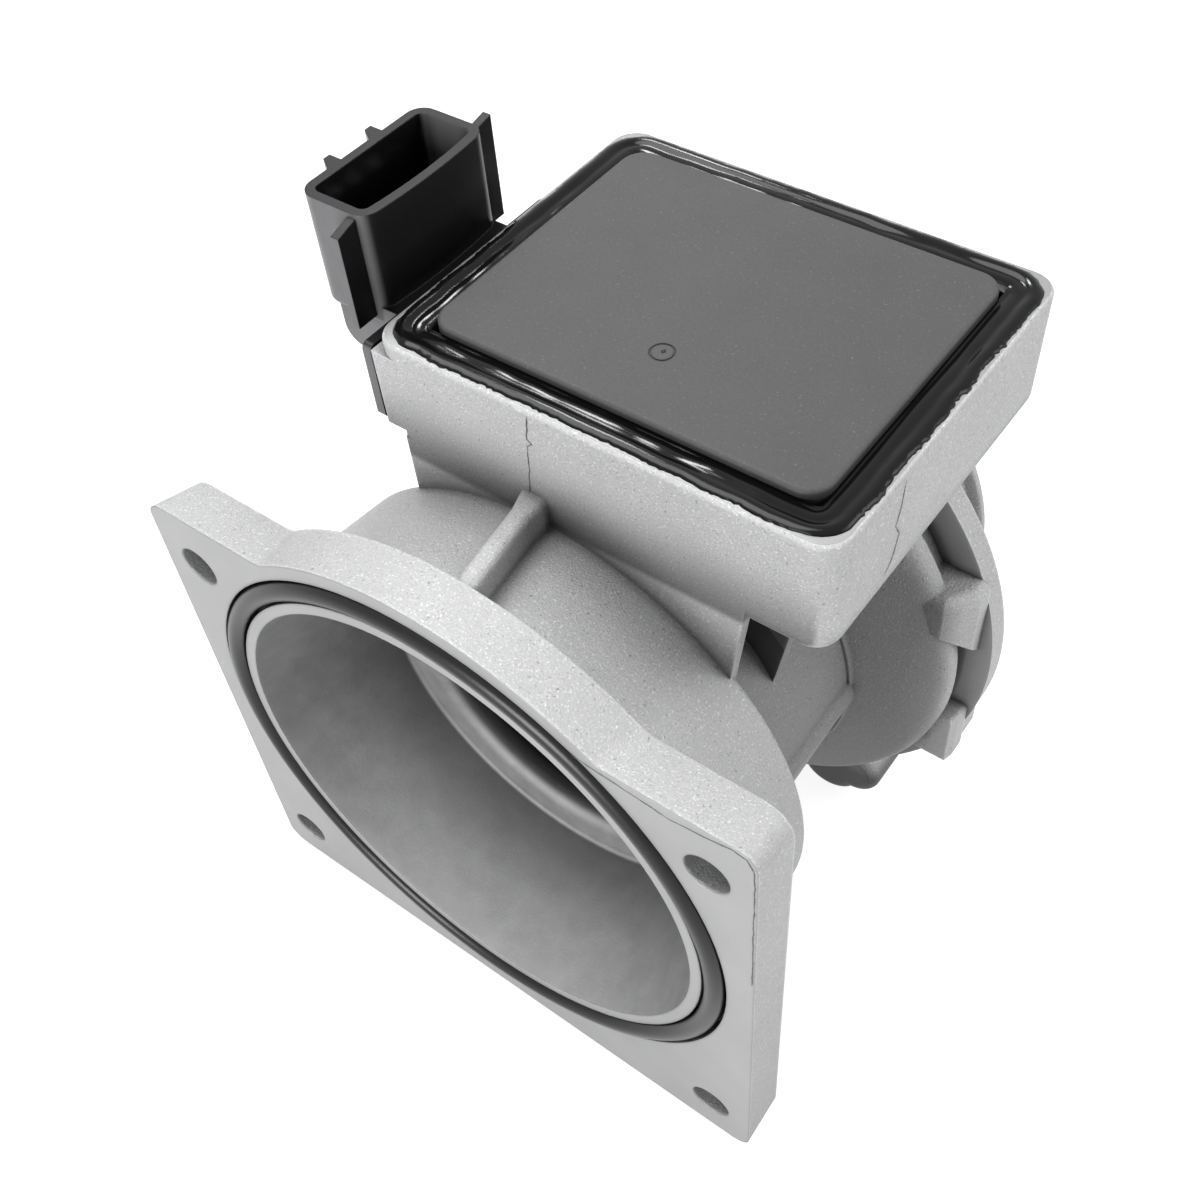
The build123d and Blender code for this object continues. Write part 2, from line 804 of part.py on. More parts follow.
def make_chip_capacitors():
    """Small chip parts in a row near the terminals."""
    parts = []
    x0 = box_x + capacitor_x - capacitor_length / 2
    for i in range(capacitor_count):
        y = box_y + capacitor_y + (i - (capacitor_count - 1) / 2) * capacitor_pitch
        parts.append(block(x0, x0 + capacitor_length, y - capacitor_width / 2, y + capacitor_width / 2,
                           board_top, board_top + capacitor_height))
    return Compound(children=parts)


def make_bond_leads():
    """Leads that step down from the terminals to the board."""
    leads = []
    top = terminal_run_z + terminal_thick / 2
    x0 = terminal_end_x - lead_lap
    x1 = terminal_end_x + lead_reach
    half = terminal_width / 2 - lead_narrow
    for y in terminal_places():
        lead = block(x0, x1, y - half, y + half, top, top + lead_thick)
        lead += block(x1 - lead_thick, x1, y - half, y + half, board_top, top + lead_thick)
        lead += block(x1 - lead_thick, x1 + lead_foot, y - half, y + half,
                      board_top, board_top + lead_thick)
        leads.append(lead)
    return Compound(children=leads)


def make_sensor_holder():
    """The plastic plug through the floor, with a flange, a seal groove and four pin holes."""
    flange = block(-holder_flange_half_x, holder_flange_half_x, holder_y - holder_flange_half_y,
                   holder_y + holder_flange_half_y, floor_z, floor_z + holder_flange_thick)
    flange = fillet(flange.edges().filter_by(Axis.Z), 2.0)
    plug = flange + rod_up(0, holder_y, holder_radius, holder_bottom, floor_z)
    groove_z = (holder_bottom + floor_z) / 2
    groove = rod_up(0, holder_y, holder_radius + 1, groove_z - 0.9, groove_z + 0.9)
    groove -= rod_up(0, holder_y, holder_radius - 1.4, groove_z - 1, groove_z + 1)
    plug -= groove
    for side in (-1, 1):
        y = holder_y + side * holder_screw_y
        plug -= rod_up(0, y, small_shank + screw_slack, floor_z - 1, floor_z + 5)
    for x, y in support_places():
        plug -= rod_up(x, y, pin_radius + pin_clear, holder_bottom - 1, floor_z + 5)
    return plug


def make_holder_seal():
    """The O-ring round the holder."""
    groove_z = (holder_bottom + floor_z) / 2
    middle = holder_radius - holder_seal_section / 2 + 0.02
    section = Pos(middle, 0) * Circle(holder_seal_section / 2 - 0.03)
    return Pos(0, holder_y, groove_z) * revolve(Plane.XZ * section, axis=Axis.Z)


def make_holder_screws():
    """Two screws through the holder's flange into the floor."""
    screws = []
    for side in (-1, 1):
        one = screw(small_shank, small_head, small_head_height, holder_flange_thick + 3)
        screws.append(Pos(0, holder_y + side * holder_screw_y, floor_z + holder_flange_thick) * one)
    return Compound(children=screws)


def make_element(y):
    """A wound element lying between two support pins, with a cap at each end."""
    half = pin_offset_x - pin_radius - pin_clear
    x_axis = Plane(origin=(-half, y, bypass_z), x_dir=(0, 1, 0), z_dir=(1, 0, 0))
    core = extrude(x_axis * Circle(element_radius), amount=2 * half)
    cap = extrude(x_axis * Circle(element_radius + 0.12), amount=0.5)
    return core + cap + Pos(2 * half - 0.5, 0, 0) * cap


def above_collar():
    """The room under the box that the collar keeps clear of."""
    return block(-80, 80, joint_y - 1, spigot_end_y + 1, box_bottom_z - collar_clear, 80)


def bracket_boss(side):
    """A round boss with a lobe beside it, with their front edges rounded."""
    start = joint_y - ear_boss_lead
    boss = rod_along(side * ear_boss_x, ear_boss_z, ear_boss_radius, start, joint_y + ear_boss_depth)
    lobe = rod_along(side * ear_lobe_x, ear_lobe_z, ear_lobe_radius, start, joint_y + ear_lobe_depth)
    both = Part()
    for piece in (boss, lobe):
        front = piece.edges().filter_by(lambda e: abs(e.center().Y - start) < 0.01)
        both += fillet(front, ear_boss_round)
    return both


def make_outlet_collar():
    """The rear ring: flange, hose spigot with its retaining bead, lug ears and two bracket bosses."""
    body = slab(Circle(collar_flange_radius), joint_y, collar_back)
    for side in (-1, 1):
        ear_x = side * (channel_outer + lower_lug_reach) / 2
        ear = Rectangle(lower_lug_reach - channel_outer, lower_lug_top - collar_ear_foot)
        body += slab(Pos(ear_x, (lower_lug_top + collar_ear_foot) / 2) * ear, joint_y, collar_back)
        body += bracket_boss(side)
    body -= above_collar()
    bead_start = spigot_end_y - spigot_bead_length
    points = [
        (spigot_bore, joint_y + 1),
        (spigot_radius, joint_y + 1),
        (spigot_radius, bead_start),
        (spigot_bead, bead_start + 0.8),
        (spigot_bead, spigot_end_y - 0.8),
        (spigot_bore, spigot_end_y),
    ]
    body += turned(points, [0, 0, 0, 0.6, 1.0, 0])
    bore = [
        (0, joint_y - 1),
        (throat_exit_radius, joint_y - 1),
        (throat_exit_radius, joint_y),
        (spigot_bore, spigot_end_y),
        (spigot_bore, spigot_end_y + 1),
        (0, spigot_end_y + 1),
    ]
    body -= turned(bore, [0, 0, 0, 0, 0, 0])
    groove = Circle(collar_groove_radius + collar_groove_width / 2)
    groove -= Circle(collar_groove_radius - collar_groove_width / 2)
    body -= slab(groove, joint_y - 1, joint_y + collar_groove_depth)
    for x, z in collar_screw_places:
        body -= rod_along(x, z, collar_shank + screw_slack, joint_y - 1, collar_back + 1)
    for side in (-1, 1):
        back = joint_y + ear_boss_depth
        body -= rod_along(side * ear_boss_x, ear_boss_z, ear_hole / 2, back - ear_hole_depth, back + 1)
    return body


def make_collar_seal():
    """The O-ring in the collar's front face."""
    return ring(collar_groove_radius, joint_y + collar_groove_depth / 2, collar_seal_section)


def make_collar_screws():
    """Four screws from behind, through the collar into the lugs."""
    screws = []
    for x, z in collar_screw_places:
        length = collar_back - joint_y + collar_screw_reach - 0.4
        one = screw(collar_shank, collar_head, collar_head_height, length)
        screws.append(Pos(x, collar_back, z) * Rot(-90, 0, 0) * one)
    return Compound(children=screws)


def save(shape, name):
    """Writes one sub-part."""
    export_step(shape, "parts/" + name + ".step")


os.makedirs("parts", exist_ok=True)
save(make_housing(), "housing")
save(make_inlet_seal(), "inlet_seal")
save(make_lid(), "lid")
save(make_lid_sealant(), "lid_sealant")
save(make_connector_body(), "connector_body")
save(make_connector_gasket(), "connector_gasket")
save(make_connector_screws(), "connector_screws")
for number, place in enumerate(terminal_places(), start=1):
    save(terminal(place), "terminal_pin_" + str(number))
save(make_circuit_board(), "circuit_board")
save(make_board_screws(), "board_screws")
save(make_control_chip(), "control_chip")
save(make_power_transistor(), "power_transistor")
save(make_chip_capacitors(), "chip_capacitors")
save(make_bond_leads(), "bond_leads")
save(make_sensor_holder(), "sensor_holder")
save(make_holder_seal(), "holder_seal")
save(make_holder_screws(), "holder_screws")
for number, (pin_x, pin_y) in enumerate(support_places(), start=1):
    save(rod_up(pin_x, pin_y, pin_radius, bypass_z - 0.5, board_top + 0.6), "support_pin_" + str(number))
save(make_element(holder_y - pin_offset_y), "cold_wire")
save(make_element(holder_y + pin_offset_y), "hot_wire")
save(make_outlet_collar(), "outlet_collar")
save(make_collar_seal(), "collar_seal")
save(make_collar_screws(), "collar_screws")
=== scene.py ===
from math import cos, pi, radians, sin

import bpy
from mathutils import Matrix, Vector, noise


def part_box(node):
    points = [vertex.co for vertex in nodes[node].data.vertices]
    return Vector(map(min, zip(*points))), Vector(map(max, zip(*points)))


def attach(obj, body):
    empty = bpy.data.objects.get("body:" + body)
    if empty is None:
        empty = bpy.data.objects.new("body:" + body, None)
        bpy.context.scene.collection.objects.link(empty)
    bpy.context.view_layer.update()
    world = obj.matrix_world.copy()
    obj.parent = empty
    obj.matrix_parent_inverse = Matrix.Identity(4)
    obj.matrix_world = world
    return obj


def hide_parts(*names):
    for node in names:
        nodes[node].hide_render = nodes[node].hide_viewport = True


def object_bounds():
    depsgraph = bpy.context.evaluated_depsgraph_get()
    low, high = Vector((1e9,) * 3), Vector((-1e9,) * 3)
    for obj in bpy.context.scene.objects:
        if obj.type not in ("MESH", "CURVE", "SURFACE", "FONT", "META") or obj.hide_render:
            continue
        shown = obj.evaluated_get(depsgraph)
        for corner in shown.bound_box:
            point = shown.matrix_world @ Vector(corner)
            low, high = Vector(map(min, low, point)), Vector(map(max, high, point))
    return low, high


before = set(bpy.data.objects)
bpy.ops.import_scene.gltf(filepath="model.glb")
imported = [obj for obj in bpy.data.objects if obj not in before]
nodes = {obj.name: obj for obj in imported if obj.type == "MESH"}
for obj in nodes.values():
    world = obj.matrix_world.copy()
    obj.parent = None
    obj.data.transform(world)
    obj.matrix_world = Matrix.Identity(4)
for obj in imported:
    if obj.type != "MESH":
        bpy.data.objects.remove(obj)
cad_low, cad_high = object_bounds()
mm = 0.001

# The table and the light. The sensor lies on a white table, with soft lamps above, in front and
# high on its right, and a small one at its left that gives the wet shine. The camera looks down.
camera_place = Vector((89.32, -66.46, 176.49)) * mm
camera_aim = Vector((-2.2, 42.57, 7.85)) * mm
camera_roll = -4.96
focal_pixels = 1418.35
photo_pixels = 1200
optical_centre = (619.66, 596.07)
sensor_width = 36.0
room_light = 0.15
table_seen = 0.9
table_tone = 0.4
table_reach = 3.0
table_gap = 0.0001
lamp_aim = (0, 0.04, 0)


class Wire:
    """A value that runs through a finish. Arithmetic on it adds Math nodes."""

    def __init__(self, finish, socket):
        self.finish = finish
        self.socket = socket

    def maths(self, operation, first, second):
        return self.finish.node("ShaderNodeMath", {"operation": operation}, {0: first, 1: second})

    def __add__(self, other):
        return self.maths("ADD", self, other)

    def __radd__(self, other):
        return self.maths("ADD", other, self)

    def __sub__(self, other):
        return self.maths("SUBTRACT", self, other)

    def __rsub__(self, other):
        return self.maths("SUBTRACT", other, self)

    def __mul__(self, other):
        return self.maths("MULTIPLY", self, other)

    def __rmul__(self, other):
        return self.maths("MULTIPLY", other, self)

    def __pow__(self, other):
        return self.maths("POWER", self, other)


class Finish:
    """The nodes of one finish: those of a material, or of the world."""

    def __init__(self, owner):
        owner.use_nodes = True
        self.owner = owner
        self.tree = owner.node_tree
        self.tree.nodes.clear()

    def node(self, kind, settings, inputs, output=0):
        """Adds a node, with its settings first and then the values or wires of its inputs."""
        made = self.tree.nodes.new(kind)
        for name, value in settings.items():
            setattr(made, name, value)
        for name, value in inputs.items():
            if isinstance(value, Wire):
                self.tree.links.new(value.socket, made.inputs[name])
            else:
                made.inputs[name].default_value = value
        if made.outputs:
            return Wire(self, made.outputs[output])

    def looked_at(self):
        """1 for the camera's rays and those that mirror or pass on its view, and 0 for others."""
        camera = self.node("ShaderNodeLightPath", {}, {}, "Is Camera Ray")
        mirrored = self.node("ShaderNodeLightPath", {}, {}, "Is Glossy Ray")
        through = self.node("ShaderNodeLightPath", {}, {}, "Is Transmission Ray")
        adding = {"operation": "ADD", "use_clamp": True}
        return self.node("ShaderNodeMath", adding, {0: camera + mirrored, 1: through})


def grey(tone):
    """A neutral colour of that brightness."""
    return (tone, tone, tone, 1)


def add_camera():
    """The camera at the place, aim and roll that the view has."""
    data = bpy.data.cameras.new("camera")
    data.sensor_width = sensor_width
    data.lens = sensor_width * focal_pixels / photo_pixels
    data.shift_x = (photo_pixels / 2 - optical_centre[0]) / photo_pixels
    data.shift_y = (optical_centre[1] - photo_pixels / 2) / photo_pixels
    camera = bpy.data.objects.new("camera", data)
    look = (camera_aim - camera_place).to_track_quat("-Z", "Y").to_matrix().to_4x4()
    roll = Matrix.Rotation(radians(camera_roll), 4, "Z")
    camera.matrix_world = Matrix.Translation(camera_place) @ look @ roll
    bpy.context.scene.collection.objects.link(camera)
    bpy.context.scene.camera = camera


def add_lamp(name, place, size, watts):
    """A square soft lamp that faces the sensor."""
    data = bpy.data.lights.new(name, "AREA")
    data.size = size
    data.energy = watts
    lamp = bpy.data.objects.new(name, data)
    turn = (Vector(lamp_aim) - Vector(place)).to_track_quat("-Z", "Y").to_matrix().to_4x4()
    lamp.matrix_world = Matrix.Translation(place) @ turn
    bpy.context.scene.collection.objects.link(lamp)


def light_room():
    """Even grey light from all round, which the camera and shiny surfaces see as white."""
    world = bpy.data.worlds.new("room")
    bpy.context.scene.world = world
    room = Finish(world)
    strength = room_light + room.looked_at() * (1 - room_light)
    light = room.node("ShaderNodeBackground", {}, {"Color": grey(1), "Strength": strength})
    room.node("ShaderNodeOutputWorld", {}, {"Surface": light})


def add_floor():
    """The white table top under the part, which keeps a faint shadow."""
    mesh = bpy.data.meshes.new("floor")
    low = cad_low.z - table_gap
    turns = [(-1, -1), (1, -1), (1, 1), (-1, 1)]
    corners = [(table_reach * x, table_reach * y, low) for x, y in turns]
    mesh.from_pydata(corners, [], [(0, 1, 2, 3)])
    floor = bpy.data.objects.new("floor", mesh)
    bpy.context.scene.collection.objects.link(floor)
    top = Finish(bpy.data.materials.new("white_table"))
    glow = top.node("ShaderNodeEmission", {}, {"Color": grey(1), "Strength": table_seen})
    paint = top.node("ShaderNodeBsdfDiffuse", {}, {"Color": grey(table_tone)})
    seen = top.node("ShaderNodeAddShader", {}, {0: glow, 1: paint})
    surface = top.node("ShaderNodeMixShader", {}, {0: top.looked_at(), 1: paint, 2: seen})
    top.node("ShaderNodeOutputMaterial", {}, {"Surface": surface})
    mesh.materials.append(top.owner)


bpy.context.scene.view_settings.view_transform = "Standard"
add_camera()
light_room()
add_floor()
add_lamp("top_lamp", (-0.3, 0.06, 0.76), 0.5, 5.2)
add_lamp("front_lamp", (0.03, -0.79, 0.11), 0.36, 6.6)
add_lamp("right_lamp", (0.55, 0.36, 0.5), 0.5, 3.6)
add_lamp("spot_lamp", (-0.45, 0.5, 0.75), 0.12, 1.7)


# The housing. One aluminium casting: blasted all over, then faced on the flange and bored in the
# air path, with painted shade where the box shelters it. It carries every other piece.
cast_tone = 0.48
seam_shadow_tone = 0.12
faced_tone = 0.34
bored_tone = 0.25
throat_start = 6.0
throat_length = 22.0
painted_shade_share = 0.75
painted_light_bottom_share = 0.75
box_top = 61.8
mouth_radius = 40.0
bore_end = 66.0
spigot_bore = 33.0
shade_reach = 75.0
shade_power = 0.25
crease_shade_reach = 1.6
crease_shade_power = 0.9
worn_edge_highlight = 0.3
under_box_share = 0.5
wall_foot_share = 0.65
side_foot_share = 0.5
box_foot = 42.0
box_front = 24.8
drum_back = 62.0
low_lug = -38.0
low_lug_front = 50.0
collar_foot = -39.0
grain_size = 0.3
lump_size = 1.6
patch_size = 14.0
pit_size = 0.5
stain_size = 4.0
grain_depth = 0.26
edge_round = 0.7
metal_share = 0.32
dullness = 0.52


class Metal(Finish):
    """A finish of one glossy surface, with coordinates in millimetres."""

    def __init__(self, name):
        super().__init__(bpy.data.materials.new(name))
        place = self.node("ShaderNodeTexCoord", {}, {}, "Object")
        inputs = {0: place, "Scale": 1000.0}
        self.place = self.node("ShaderNodeVectorMath", {"operation": "SCALE"}, inputs)

    def along(self, axis):
        """How far a point lies along x, y or z, in millimetres."""
        return self.node("ShaderNodeSeparateXYZ", {}, {0: self.place}, axis)

    def facing(self, axis):
        """How much the surface faces along x, y or z, from -1 to 1."""
        normal = self.node("ShaderNodeNewGeometry", {}, {}, "Normal")
        return self.node("ShaderNodeSeparateXYZ", {}, {0: normal}, axis)

    def clouds(self, size, detail=2.0, rough=0.5):
        """Soft noise from 0 to 1 with lumps of about that many millimetres."""
        inputs = {"Vector": self.place, "Scale": 1.0 / size, "Detail": detail, "Roughness": rough}
        return self.node("ShaderNodeTexNoise", {}, inputs)

    def step(self, value, low, high):
        """0 below low and 1 above high, with a soft change between."""
        inputs = {"Value": value, "From Min": low, "From Max": high}
        return self.node("ShaderNodeMapRange", {"interpolation_type": "SMOOTHSTEP"}, inputs)

    def openness(self, reach, power):
        """How open a place is to its surroundings: 1 out in the open, near 0 deep in a hollow."""
        inputs = {"Distance": reach * mm}
        return self.node("ShaderNodeAmbientOcclusion", {"samples": 6}, inputs, "AO") ** power

    def bumps(self, height, depth, under=None):
        """A normal that is raised by height, which runs from 0 to 1, times depth in millimetres."""
        inputs = {"Height": height, "Distance": depth * mm}
        if under:
            inputs["Normal"] = under
        return self.node("ShaderNodeBump", {}, inputs)

    def soft_edges(self, radius):
        """A normal that rounds the edges off by that radius in millimetres."""
        return self.node("ShaderNodeBevel", {"samples": 4}, {"Radius": radius * mm})

    def edges(self, softened):
        """1 along edges and 0 on faces, from how far a softened normal turns from the true one."""
        true = self.node("ShaderNodeNewGeometry", {}, {}, "Normal")
        inputs = {0: true, 1: softened}
        same = self.node("ShaderNodeVectorMath", {"operation": "DOT_PRODUCT"}, inputs, "Value")
        return self.step(same, 0.985, 0.9)

    def cover(self, **inputs):
        """Ends the finish in its surface shader."""
        named = {name.replace("_", " "): value for name, value in inputs.items()}
        surface = self.node("ShaderNodeBsdfPrincipled", {}, named)
        self.node("ShaderNodeOutputMaterial", {}, {"Surface": surface})
        return self.owner


def cast_metal(name, regions, tone=cast_tone):
    """Blasted cast aluminium with pits and painted sparkle in specks, faced and bored by its
    regions, and darkened by painted shade.
    """
    metal = Metal(name)
    grain = metal.clouds(grain_size, 3.0, 0.65)
    lumps = metal.clouds(lump_size, 2.0)
    patches = metal.clouds(patch_size, 2.0)
    # The bright specks are painted sparkle, the glint of the blasted skin.
    specks = metal.step(metal.clouds(grain_size, 1.0), 0.62, 0.74)
    pits = metal.step(metal.clouds(pit_size, 2.0), 0.36, 0.26)
    face, bore, dimmed = regions(metal)
    smooth = face + bore
    cast = tone + (grain - 0.5) * 0.3 + specks * 0.2 - pits * 0.2
    stains = (metal.clouds(stain_size, 3.0, 0.6) - 0.5) * bore * 0.16
    # Painted light: the bore's upward faces are paler, as if lit from above.
    bottom = 1 + painted_light_bottom_share * metal.step(metal.facing("Z"), 0.1, 0.95)
    cut = (grain - 0.5) * 0.08 + faced_tone * face + bored_tone * bore * bottom + stains
    shade = cast * (1 - smooth) + cut * smooth + (patches - 0.5) * 0.1
    soft = metal.soft_edges(edge_round)
    crease = metal.openness(crease_shade_reach, crease_shade_power)
    # Convex edges are made paler: partly wear, partly a painted highlight.
    shade = shade + metal.edges(soft) * metal.step(crease, 0.75, 0.95) * worn_edge_highlight * (1 - smooth)
    # Painted shade: darker in creases, in hollows and in the regions' dimmed places.
    shade = shade * crease * metal.openness(shade_reach, shade_power) * (1 - dimmed)
    colour = metal.node("ShaderNodeCombineColor", {}, {0: shade, 1: shade, 2: shade * 1.01})
    height = (grain * 0.7 + lumps * 0.3) * (1 - smooth * 0.8)
    rough = metal.bumps(height, grain_depth, soft)
    gloss = dullness - face * 0.06 + bore * 0.16
    return metal.cover(Base_Color=colour, Metallic=metal_share, Roughness=gloss, Normal=rough)


def housing_regions(metal):
    """Where the housing is faced and where it is bored, and how much painted shade darkens its
    tone.
    """
    along_x, along_y, along_z = metal.along("X"), metal.along("Y"), metal.along("Z")
    facing_x, facing_y, facing_z = metal.facing("X"), metal.facing("Y"), metal.facing("Z")
    front = metal.step(facing_y, -0.9, -0.98) * metal.step(along_y, 0.2, 0.1)
    rim = metal.step(along_z - box_top, -0.3, -0.1) * metal.step(facing_z, 0.9, 0.98)
    across = along_x * along_x + along_z * along_z
    deep = metal.step(along_y, 0.0, 0.2) * metal.step(along_y, bore_end, bore_end - 0.2)
    bore = metal.step(across, (mouth_radius + 0.1) ** 2, mouth_radius ** 2) * deep
    outward = facing_x * along_x + facing_z * along_z
    far_face = metal.step(facing_y, -0.5, -0.9) * metal.step(along_y, 40.0, 45.0)
    bore = bore * metal.step(outward, 3.0, 0.5) * (1 - far_face)
    # Painted shade under the box and at the foot of its front and right walls.
    high = along_z - box_foot
    under = metal.step(high, 1.0, -4.0) * metal.step(along_y, box_front, box_front + 5)
    under = under * metal.step(along_y, drum_back, drum_back - 4) * under_box_share
    foot = metal.step(high, 14.0, 0.0) * metal.step(facing_y, -0.8, -0.95) * wall_foot_share
    foot = foot + metal.step(high, 5.0, 0.0) * metal.step(facing_x, 0.6, 0.9) * side_foot_share
    foot = foot * metal.step(high, -0.5, 1.0) * metal.step(along_y, box_front - 1, box_front)
    # Painted shade deep in the throat of the bore and under the low lug.
    throat = metal.step(along_y, throat_start, throat_start + throat_length) * bore
    throat = throat * metal.step(facing_y, -0.8, -0.3)
    low = metal.step(along_z, low_lug, low_lug - 5)
    low = low * metal.step(along_y, low_lug_front, low_lug_front + 4)
    return front + rim, bore, under + foot + (throat + low) * painted_shade_share


def collar_regions(metal):
    """Where the collar is faced and where it is bored, and how much painted shade darkens its tone.
    """
    across = metal.along("X") * metal.along("X") + metal.along("Z") * metal.along("Z")
    joint = metal.step(metal.facing("Y"), -0.9, -0.98)
    joint = joint * metal.step(across, spigot_bore ** 2, (spigot_bore + 1) ** 2)
    bore = metal.step(across, (spigot_bore + 0.4) ** 2, (spigot_bore + 0.2) ** 2)
    # Painted shade in the bore and low down on the collar.
    low = metal.step(metal.along("Z"), collar_foot, collar_foot - 4)
    low = low * metal.step(metal.facing("Y"), 0.5, 0.2)
    return joint, bore, (bore + low) * painted_shade_share


def give(names, material):
    """Puts one finish on CAD nodes."""
    for name in names:
        for slot in nodes[name].material_slots:
            slot.material = material


give(["housing"], cast_metal("cast_aluminium", housing_regions))
give(["outlet_collar"], cast_metal("collar_aluminium", collar_regions))


# Casting marks. Hair-thin ridges of the same metal on the housing's skin, darkened with painted
# shadow: the die's parting line down the front wall, with a nick halfway, a flow line on the right
# wall, and trimmed flash.
ridge_width = 0.32
ridge_height = 0.13
ridge_step = 0.8
ridge_wander = 0.16
parting_line = [(0.62, 24.8, 60.9), (0.05, 24.8, 56.9), (0.75, 24.8, 56.3), (-0.05, 24.8, 55.6),
                (-0.3, 24.8, 52.0), (-0.9, 24.8, 46.6)]
flow_line = [(43.4, 40.3, 60.8), (43.4, 40.0, 57.0), (43.4, 39.2, 53.8), (43.4, 40.4, 51.6),
             (43.4, 40.0, 49.6), (43.4, 39.2, 47.6), (43.4, 37.6, 46.2)]
flange_flash = [(23.4, 0.0, 38.8), (28.3, 0.0, 38.3), (33.3, 0.0, 37.8), (38.1, 0.0, 37.3),
                (42.2, 0.0, 37.9), (46.4, 0.0, 38.8), (48.4, 0.0, 38.4), (49.3, 0.0, 36.9),
                (49.5, 0.0, 33.0), (49.6, 0.0, 7.9)]


def add_ridge(name, route):
    """A three-sided ridge along a route, laid on the housing's skin."""
    way = []
    for first, second in zip(route, route[1:]):
        count = max(1, int((Vector(second) - Vector(first)).length / ridge_step))
        way += [Vector(first).lerp(Vector(second), k / count) for k in range(count)]
    way.append(Vector(route[-1]))
    feet = []
    for point in way:
        _, place, normal, _ = nodes["housing"].closest_point_on_mesh(point * mm)
        feet.append((place / mm, normal))
    points = []
    for i, (foot, normal) in enumerate(feet):
        ahead = feet[min(i + 1, len(feet) - 1)][0] - feet[max(i - 1, 0)][0]
        across = normal.cross(ahead).normalized()
        thin = 0.8 + 0.5 * noise.noise(foot * 1.3) if 0 < i < len(feet) - 1 else 0.2
        middle = foot + across * (ridge_wander * noise.noise(foot * 0.9)) - normal * 0.02
        spread = across * (ridge_width / 2 * thin)
        points += [middle - spread, middle + normal * (ridge_height * thin), middle + spread]
    faces = [(0, 1, 2), (len(points) - 1, len(points) - 2, len(points) - 3)]
    for i in range(len(feet) - 1):
        for k in range(3):
            beside = (k + 1) % 3
            faces.append((3 * i + k, 3 * i + 3 + k, 3 * i + 3 + beside, 3 * i + beside))
    mesh = bpy.data.meshes.new(name)
    mesh.from_pydata([p * mm for p in points], [], faces)
    mesh.materials.append(seam_metal)
    ridge = bpy.data.objects.new(name, mesh)
    bpy.context.scene.collection.objects.link(ridge)
    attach(ridge, "root")


# The ridges' dark tone is painted shadow of their steps.
seam_metal = cast_metal("seam_metal", collar_regions, seam_shadow_tone)
add_ridge("parting_line", parting_line)
add_ridge("flow_line", flow_line)
add_ridge("flange_flash", flange_flash)


# The lid. A moulded plate of black plastic with a fine matte grain, and the torn stub of its gate
# in a ring. It lies in the mouth of the box and the sealant holds it.
gate_mark = (9.2, 41.3)
gate_stub_size = 0.5


def moulded_plastic(name, tone, rough, grain_size, depth, shaded=1.0, shine=0.5, scuffs_and_sheen=0.0):
    """Moulded plastic with a fine grain and light specks, painted shade in its hollows, and paler
    in front from scuffs and a painted sheen.
    """
    plastic = Metal(name)
    grain = plastic.clouds(grain_size, 2.0, 0.6)
    patches = plastic.clouds(9.0, 2.0)
    specks = plastic.step(plastic.clouds(grain_size * 1.3, 1.0), 0.66, 0.78)
    shade = tone + (patches - 0.5) * tone * 0.25 + (grain - 0.5) * tone * 0.5 + specks * tone * 0.9
    # Painted shade: darker in hollows.
    shade = shade * plastic.openness(shade_reach, shaded)
    if scuffs_and_sheen:
        # The paler front is partly scuffs and partly a painted sheen.
        front = plastic.step(plastic.facing("Y"), -0.5, -0.95) * plastic.openness(3.0, 2.0)
        shade = shade + front * (0.7 + patches * 0.6) * scuffs_and_sheen
    colour = plastic.node("ShaderNodeCombineColor", {}, {0: shade, 1: shade, 2: shade * 1.03})
    normal = plastic.bumps(grain, depth, plastic.soft_edges(0.3))
    return plastic.cover(
        Base_Color=colour, Roughness=rough, Specular_IOR_Level=shine, Normal=normal)


def add_gate_stub():
    """The torn stub of the gate, a low dark pyramid in its ring on the lid."""
    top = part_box("lid")[1].z / mm
    x, y = gate_mark
    side = gate_stub_size
    points = [(x - side, y, top - 0.02), (x, y - side * 1.3, top - 0.02), (x + side, y, top - 0.02),
              (x, y + side * 1.3, top - 0.02), (x + 0.1, y, top + 0.06)]
    mesh = bpy.data.meshes.new("gate_stub")
    faces = [(0, 1, 4), (1, 2, 4), (2, 3, 4), (3, 0, 4), (3, 2, 1, 0)]
    mesh.from_pydata([Vector(p) * mm for p in points], [], faces)
    mesh.materials.append(moulded_plastic("torn_plastic", 0.008, 0.5, 0.3, 0.02))
    stub = bpy.data.objects.new("gate_stub", mesh)
    bpy.context.scene.collection.objects.link(stub)
    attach(stub, "root")


give(["lid"], moulded_plastic("lid_plastic", 0.056, 0.62, 0.3, 0.03))
add_gate_stub()


# The sealant. A bead of black silicone in the channel between lid and rim, which sets glossy. It is
# laid by hand: it swells and thins along its way, and creeps over the rim with a ragged edge.
bead_turn_steps = 10
bead_step = 0.5
bead_span = 16
bead_over_rim = 1.6
bead_ragged = 0.3
bead_swell = 0.55
bead_floor = 57.6


